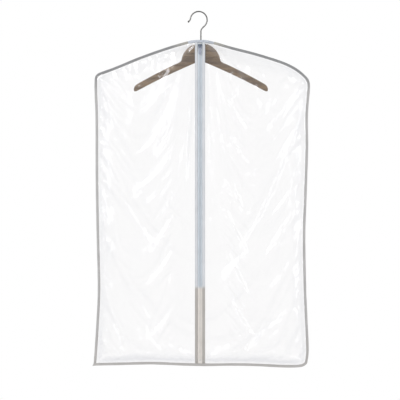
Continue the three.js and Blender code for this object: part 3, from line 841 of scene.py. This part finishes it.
def stitches(name, line, facing, look, slot, pitch=STITCH_PITCH, radius=THREAD_RADIUS, start=0.0):
    """A row of lock stitches on a line of points, on a surface that faces +Y or -Y."""
    line = np.array(line, float)
    along = lengths_along(line)
    count = int((along[-1] - start * MM) / (pitch * MM))
    shape = [(0.06, -0.25, 0.5), (0.16, 0.35, 0.9), (0.5, 0.75, 1.0), (0.84, 0.35, 0.9),
             (0.94, -0.25, 0.5)]  # place along the stitch, lift and thickness
    parts = []
    for k in range(count):
        centres, radii = [], []
        for share, lift, thick in shape:
            at = (k + share) * pitch * MM + start * MM
            p = Vector([np.interp(at, along, column) for column in line.T])
            centres.append(p + Vector((0, facing, 0)) * (lift * radius * MM))
            radii.append(thick * radius * MM)
        parts.append(loft(tube_rings(centres, radii, 6)))
    return new_piece(name, *joined(parts), look, "bag", slot)


def seam_on(frames, section, inset, facing, lift):
    """Points for a row of stitches on one face of a tape: inset is how far it is from the tape's
    middle and lift is how far it is off the face."""
    seam = []
    for i, (p, inward) in enumerate(frames):
        face = max(depth for _, depth in section(i, 0)) + lift
        seam.append(p + inward * (inset * MM) + Vector((0, facing * face * MM, 0)))
    return seam


def left_edge_line():
    """From the hook opening down to the foot's tape, as [x, z]."""
    top = TOP[TOP[:, 0] < EDGE_ENDS[0] * MM]
    foot = FOOT_LEFT[1] * MM + 1.5 * MM
    side = LEFT_SIDE[1:][LEFT_SIDE[1:, 1] > foot]
    return resampled(np.concatenate([top[::-1], side]), EDGE_STEP * MM)


def foot_and_right_line():
    """From the tail at the lower left along the foot and up to the hook opening, as [x, z]."""
    tail = (np.array([FOOT_LEFT]) + TAIL) * MM
    top = TOP[TOP[:, 0] > EDGE_ENDS[1] * MM]
    whole = np.concatenate([tail, FOOT, RIGHT_SIDE[-2::-1], top[-2::-1]])
    return resampled(whole, EDGE_STEP * MM)


def edge_section(line, seed, pointed_start=False):
    """The edge tape's profile along its line: it widens over the zip's end and the opening's ends, its
    width wanders, and every stitch pulls it in."""
    def section(i, along):
        x, z = line[i]
        over_zip = smooth((20 - abs(x / MM - ZIP_X)) / 5) * (z < -0.9)
        slot = 0.7 + 1.1 * over_zip
        if z > -0.2:
            slot += 0.5 * (OPENING_FRONT + OPENING_BACK) * spread_at(x, z)
        half = BINDING_HALF + 0.3 * rough(along, 0, 0.03, 1, seed)
        dimple = (0.3 if i % 2 else 0.05) * (1 - over_zip)
        profile = folded(half, slot, BINDING_WALL, dimple)
        lean = 0.25 * rough(along, 0, 0.022, 1, seed + 2)
        profile = [(a, b + lean * (a / half)) for a, b in profile]
        if pointed_start and along < TAIL_POINT * MM:
            share = along / (TAIL_POINT * MM)
            profile = [(min(a, -half + (0.5 + 1.5 * share) * half), b) for a, b in profile]
        return profile
    return section


def make_edge_bindings():
    """Two tapes, each with a row of stitches on either face."""
    pieces = []
    for name, node, line, seed, pointed in (
        ("edge_tape_left", "edge_binding_left", left_edge_line(), 2.1, False),
        ("edge_tape_foot_and_right", "edge_binding_foot_and_right", foot_and_right_line(), 6.4, True),
    ):
        frames = framed([(x, sway(x, z), z) for x, z in line])
        section = edge_section(line, seed, pointed)
        pieces.append(tape_piece(name, frames, section, GREY_EDGE, "grey_binding", node))
        for side, facing in (("front", -1), ("back", 1)):
            seam = seam_on(frames, section, BINDING_HALF * 0.45, facing, -STITCH_SUNK)
            pieces.append(stitches(f"{name}_stitches_{side}", seam, facing, EDGE_THREAD,
                                   "grey_binding", start=TAIL_POINT + 2.2 if pointed else 1.0))
    return pieces


def hem_section(line, seed, sign):
    """The hem's profile along its line: it puffs and wanders, and lies over the zip's cloth in front."""
    def section(i, along):
        x = line[i][0]
        half = HEM_HALF + 0.25 * rough(along, 0, 0.012, 1, seed)
        puff = 0.2 + 0.18 * rough(along, 1, 0.008, 1, seed + 1)
        near_end = smooth((abs(x) / MM - 33) / 5)
        over_zip = smooth((17 - abs(x / MM - ZIP_X)) / 2) * (sign < 0)
        slot = max(0.16, puff) * (1 - over_zip) + 0.92 * over_zip
        return folded(half - 0.6 * near_end, slot, 0.28, 0.2 if i % 3 == 0 else 0.0)
    return section


def make_hems():
    """A folded strip of pale film over each edge of the hook opening."""
    pieces = {}
    inside = (TOP[:, 0] > HEM_ENDS[0] * MM) & (TOP[:, 0] < HEM_ENDS[1] * MM)
    line = resampled(TOP[inside][::-1], HEM_STEP * MM)
    for side, sign, depth, node in (("front", -1, front_y, "opening_binding_front"),
                                    ("back", 1, back_y, "opening_binding_back")):
        frames = framed([(x, depth(x, z, 0.0), z) for x, z in line])
        section = hem_section(line, 3.0 + sign, sign)
        piece = tape_piece(f"opening_hem_{side}", frames, section, HEM, "pale_binding", node)
        seam = seam_on(frames, section, HEM_SEAM, sign, 0.02)
        thread = stitches(f"opening_hem_stitches_{side}", seam, sign, PALE_THREAD, "pale_binding",
                          HEM_STITCH_PITCH, FINE_THREAD_RADIUS)
        pieces[side] = [piece, thread]
    return pieces


# ---------- the zip


def on_zip(x, y, z):
    """A point given along the zip, in millimetres, in the bag's frame."""
    cos, sin = math.cos(ZIP_LEAN), math.sin(ZIP_LEAN)
    return Vector((ZIP_X + x, ZIP_TOP[0] + y * cos - z * sin, ZIP_TOP[1] + y * sin + z * cos)) * MM


def cloth_line(top, step):
    """Depths and heights along the zip's cloth: straight, then curving back into the foot's binding."""
    heights = list(np.arange(top, CLOTH_BEND, -step)) + list(np.arange(CLOTH_BEND, CLOTH_END, -0.8))
    line = []
    for z in heights:
        share = max(0.0, (CLOTH_BEND - z) / (CLOTH_BEND - CLOTH_END))
        line.append((CLOTH_BACK * smooth(share * 1.15), z))
    return line


def zip_strip(side, sign):
    """The folded strip that binds one front panel's edge, with two rows of stitches."""
    rings, seams = [], {row: [] for row in STRIP_SEAMS}
    for i, (back, z) in enumerate(cloth_line(STRIP_TOP, 1.75)):
        centre = STRIP_CENTRE + 0.18 * rough(z * MM, side == "left", 0.03, 1, 5.5)
        press = 1 - 0.3 * smooth((CLOTH_BEND + 2 - z) / 8)
        profile = folded(STRIP_HALF, STRIP_WALL * press, STRIP_WALL * press, 0.22 if i % 2 else 0.0)
        rings.append([on_zip(sign * (centre + a), b + back, z) for a, b in profile])
        for row, offset in STRIP_SEAMS.items():
            seams[row].append(on_zip(sign * (centre + offset), back - 2 * STRIP_WALL * press, z))
    strip = solid(f"zip_strip_{side}", f"zip_binding_{side}", loft(rings), GREY_STRIP, "bag",
                  "grey_binding")
    threads = [stitches(f"zip_strip_{side}_stitches_{row}", seam, -1, EDGE_THREAD, "grey_binding",
                        STRIP_STITCH_PITCH, FINE_THREAD_RADIUS)
               for row, seam in seams.items()]
    return [strip, *threads]


def zip_tape(side, sign):
    """A woven tape with a corded edge along the chain."""
    rings = [[on_zip(sign * x, y + back * 0.86, z) for x, y in TAPE_SECTION]
             for back, z in cloth_line(TAPE_TOP, 3.5)]
    return solid(f"zip_tape_cloth_{side}", f"zip_tape_{side}", loft(rings), TAPE_CLOTH, "bag", "zip_tape")


def zip_coil(side, sign):
    """One half of the chain: nylon wound in loops that reach between the other half's loops."""
    steps = 11
    start = COIL_TOP - (COIL_PITCH / 2 if sign > 0 else 0)
    turns = int((start - CHAIN[0] - 0.5) / COIL_PITCH)
    line, radii = [], []
    for k in range(turns * steps + 1):
        angle = 2 * math.pi * k / steps
        x = COIL_CENTRE[0] - COIL_LOOP[0] * math.cos(angle)
        y = COIL_CENTRE[1] + COIL_LOOP[1] * math.sin(angle)
        line.append(on_zip(sign * x, y, start - COIL_PITCH * k / steps))
        head = max(0.0, math.cos(angle)) ** 4
        radii.append((COIL_WIRE + 0.03 * head) * MM)
    wire = loft(tube_rings(line, radii, 5))
    return solid(f"zip_chain_{side}", f"zip_coil_{side}", wire, COIL, "bag", "zip_coil")


def chain_thread(side, sign):
    """The sewing thread that runs over the loops and holds them to the tape."""
    line = []
    heights = np.arange(CHAIN[1] - 1.2, CHAIN[0] + 0.2, -COIL_PITCH / 4)
    for k, z in enumerate(heights):
        dip = 0.16 * (1 - math.cos(2 * math.pi * k / 4)) / 2
        line.append(on_zip(sign * 2.1, -1.2 + dip, z))
    rings = tube_rings(line, [0.13 * MM] * len(line), 5)
    piece = new_piece(f"zip_chain_thread_{side}", *loft(rings), PALE_THREAD, "bag", "zip_tape")
    return turned_outwards(piece)


def rounded_copy(node, name, look, body, bevel, clean=None):
    """A metal piece of the zip again, with its edges rounded."""
    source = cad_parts[node].data
    mesh = bmesh.new()
    mesh.from_mesh(source)
    bmesh.ops.remove_doubles(mesh, verts=mesh.verts, dist=0.01 * MM)
    if clean:
        clean(mesh)
    bmesh.ops.dissolve_limit(mesh, angle_limit=math.radians(1.5), verts=mesh.verts, edges=mesh.edges)
    sharp = [e for e in mesh.edges if e.is_manifold and e.calc_face_angle(0) > math.radians(28)]
    bmesh.ops.bevel(mesh, geom=sharp, offset=bevel * MM, segments=2, profile=0.5,
                    affect="EDGES", clamp_overlap=True)
    bmesh.ops.recalc_face_normals(mesh, faces=mesh.faces)
    made = bpy.data.meshes.new(name)
    mesh.to_mesh(made)
    mesh.free()
    made.materials.clear()
    made.materials.append(look)
    made.shade_smooth()
    made.set_sharp_from_angle(angle=math.radians(32))
    piece = placed(made, body)
    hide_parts(node)
    return piece


def without_post(mesh):
    """Takes out the post between the slider's plates, so that the closed chain runs through freely."""
    _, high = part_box("zip_slider")
    front, top = high.y - POST_FRONT * MM, high.z - POST_TOP * MM
    inner = [f for f in mesh.faces if all(
        abs(v.co.x - ZIP_X * MM) < POST_HALF * MM and v.co.y > front and v.co.z < top
        for v in f.verts)]
    bmesh.ops.delete(mesh, geom=inner, context="FACES")
    rims = [e for e in mesh.edges if e.is_boundary]
    bmesh.ops.holes_fill(mesh, edges=rims, sides=0)


def make_zip():
    """The pieces of the zip that belong to each front panel; the slider and pull are on their own."""
    pieces = {}
    for side, sign in (("left", -1), ("right", 1)):
        pieces[side] = [
            *zip_strip(side, sign), zip_tape(side, sign), zip_coil(side, sign), chain_thread(side, sign),
            rounded_copy(f"zip_top_stop_{side}", f"zip_stop_top_{side}", STOP_METAL, "bag", 0.18),
        ]
    pieces["right"].append(rounded_copy("zip_foot_stop", "zip_stop_foot", STOP_METAL, "bag", 0.2))
    slider = rounded_copy("zip_slider", "slider_body", SLATE, "slider", 0.28, without_post)
    pull = rounded_copy("zip_pull", "slider_pull", BLUE_GREY, "pull", 0.3)
    for casting in (slider, pull):
        softened(casting, 0.2, 7)
    return pieces


# ---------- the hanger

WIRE = 1.9
HOOK_RADIUS = 24
HOOK_CENTRE = (-6.2, -21.2)
STEM_BOTTOM = -114


def centripetal(knots, steps):
    """Points along a centripetal Catmull-Rom curve through the knots."""
    knots = [np.array(k, float) for k in knots]
    ends = [2 * knots[0] - knots[1], *knots, 2 * knots[-1] - knots[-2]]
    line = []
    for i in range(1, len(ends) - 2):
        near = ends[i - 1:i + 3]
        t = [0.0]
        for a, b in zip(near, near[1:]):
            t.append(t[-1] + max(float(np.linalg.norm(b - a)) ** 0.5, 1e-4))
        for step in range(steps):
            s = t[1] + (t[2] - t[1]) * step / steps
            points = near
            for first, reach in ((0, 1), (0, 2), (1, 1)):
                spans = [(t[first + k], t[first + k + reach]) for k in range(len(points) - 1)]
                points = [((high - s) * a + (s - low) * b) / (high - low)
                          for (low, high), a, b in zip(spans, points, points[1:])]
            line.append(points[0])
    line.append(knots[-1])
    return line


def make_hook():
    """One bent wire: a straight stem, a crank, a round hook and a ball at its tip."""
    knots = [(0, STEM_BOTTOM), (0, -85), (0, -60), (0.6, -50), (5.2, -43.5)]
    for degrees in np.arange(-45, 160.1, 20.5):
        angle = math.radians(degrees)
        knots.append((HOOK_CENTRE[0] + HOOK_RADIUS * math.cos(angle),
                      HOOK_CENTRE[1] + HOOK_RADIUS * math.sin(angle)))
    tip = (-35.4, -26.4)
    knots += [(-30.6, -20.4), tip]
    line = [Vector((x * MM, 0, z * MM)) for x, z in centripetal(knots, 8)]
    radii = [WIRE * MM] * len(line)
    radii[0] = 0.75 * WIRE * MM
    ball = 2.7
    last = (line[-1] - line[-2]).normalized()
    for angle in np.linspace(math.radians(45), math.radians(180), 12):
        line.append(Vector((tip[0] * MM, 0, tip[1] * MM)) - last * (ball * MM * math.cos(angle)))
        radii.append(max(ball * math.sin(angle), 0.02) * MM)
    solid("hook_wire", "hanger_hook", loft(tube_rings(line, radii, 20)), STEEL, "hook", "steel")


def turned_piece(name, node, profile, body):
    """A piece turned on the stem's axis; the profile is [radius, z] round a closed ring."""
    corners = []
    for p, *beside in zip(np.array(profile), np.roll(profile, 1, 0), np.roll(profile, -1, 0)):
        for other in beside:
            reach = np.linalg.norm(other - p)
            corners.append(p + (other - p) * min(0.22, reach * 0.35) / reach)
    rings = [[(r * MM * cos, r * MM * sin, z * MM) for r, z in corners] for cos, sin in circle(48)]
    piece = solid(name, node, loft(rings, endless=True), SLEEVE_STEEL, body, "steel")
    piece.data.set_sharp_from_angle(angle=math.radians(50))


def make_fittings():
    """The flanged sleeve that the stem turns in, and the ring that keeps it there."""
    hole, out = WIRE + 0.3, 3.8
    turned_piece("stem_sleeve", "hook_sleeve",
                 [(hole, -109), (out, -109), (out, -87.2), (5.6, -87.2), (5.6, -86.5), (4.9, -85.9),
                  (hole, -85.9)], "bag")
    turned_piece("stem_ring", "hook_retaining_ring",
                 [(hole, -111.6), (3.6, -111.6), (3.6, -109.3), (hole, -109.3)], "hook")


def make_arm(side, turn, seed):
    """A wooden arm: the CAD arm with its edges worn round, as turned and sanded wood is."""
    node = f"hanger_arm_{side}"
    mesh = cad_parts[node].data.copy()
    mesh.name = f"wood_arm_{side}"
    mesh.materials.clear()
    mesh.materials.append(wood_look(f"wood_{side}", turn, seed))
    piece = placed(mesh, "bag")
    softened(piece, 0.9, 14)
    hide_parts(node)
    return piece


# ---------- studio


CAMERA_PLACE = (-0.0026, -6, -0.5363)
VIEW_WIDTH = 1.144  # in the bag's plane
FLOOR_RADIUS = 2.4
FLOOR_HEIGHT = -1.6


def make_camera():
    data = bpy.data.cameras.new("camera")
    data.sensor_width = 36
    data.lens = data.sensor_width * -CAMERA_PLACE[1] / VIEW_WIDTH
    camera = in_scene("camera", data)
    camera.location = CAMERA_PLACE
    camera.rotation_euler = (math.pi / 2, 0, 0)
    bpy.context.scene.camera = camera


def make_light(name, place, target, size, energy):
    data = bpy.data.lights.new(name, "AREA")
    data.shape = "RECTANGLE"
    data.size, data.size_y = size
    data.energy = energy
    lamp = in_scene(name, data)
    lamp.location = place
    aim = Vector(target) - Vector(place)
    lamp.rotation_euler = aim.to_track_quat("-Z", "Y").to_euler()
    lamp.visible_camera = False


def make_world():
    """A white studio, brightest behind the bag and a little darker in front of it."""
    sky = Look("studio", bpy.data.worlds, "Generated")
    share = {"Value": sky.axis("Y"), "From Min": -0.6, "From Max": 0.8, "To Min": 0.75, "To Max": 1.0}
    glow = sky.node("ShaderNodeMapRange", share, interpolation_type="SMOOTHSTEP").outputs[0]
    light = sky.node("ShaderNodeBackground", {"Color": (1, 1, 1), "Strength": glow}).outputs[0]
    sky.node("ShaderNodeOutputWorld", {"Surface": light})
    bpy.context.scene.world = sky.made


def make_floor():
    """A disc, as triangles round its middle."""
    rim = [(FLOOR_RADIUS * cos, FLOOR_RADIUS * sin, FLOOR_HEIGHT) for cos, sin in circle(96)]
    points = [(0, 0, FLOOR_HEIGHT), *rim]
    faces = [(0, 1 + k, 1 + (k + 1) % len(rim)) for k in range(len(rim))]
    mesh = bpy.data.meshes.new("floor")
    mesh.from_pydata(points, [], faces)
    mesh.materials.append(floor_look())
    floor = in_scene("floor", mesh)


# ---------- assembly

bpy.context.scene.view_settings.view_transform = "Standard"
bpy.context.scene.cycles.transparent_max_bounces = 24
make_camera()
make_world()
make_floor()
make_light("key", (-2.2, -3.2, 1.4), (0, 0, -0.45), (1.6, 2.2), 60)
make_light("strip_left", (-1.1, -4.4, 0.5), (0, 0, -0.4), (0.16, 1.8), 14)
make_light("back_strip", (1.5, 3.6, 0.7), (0, 0, -0.45), (0.25, 2.0), 12)
make_light("strip_right", (1.9, -3.6, 0.1), (0, 0, -0.5), (0.2, 2.2), 14)

sheets = make_film()
for name, most in MOST_BUCKLE.items():
    settled(*sheets[name], most * MM, GROWTH)
for piece, _ in sheets.values():
    finer(piece)
edges = make_edge_bindings()
hems = make_hems()
zips = make_zip()
make_hook()
make_fittings()
arms = [make_arm("left", -0.47, 3.1), make_arm("right", 0.47, 7.7)]
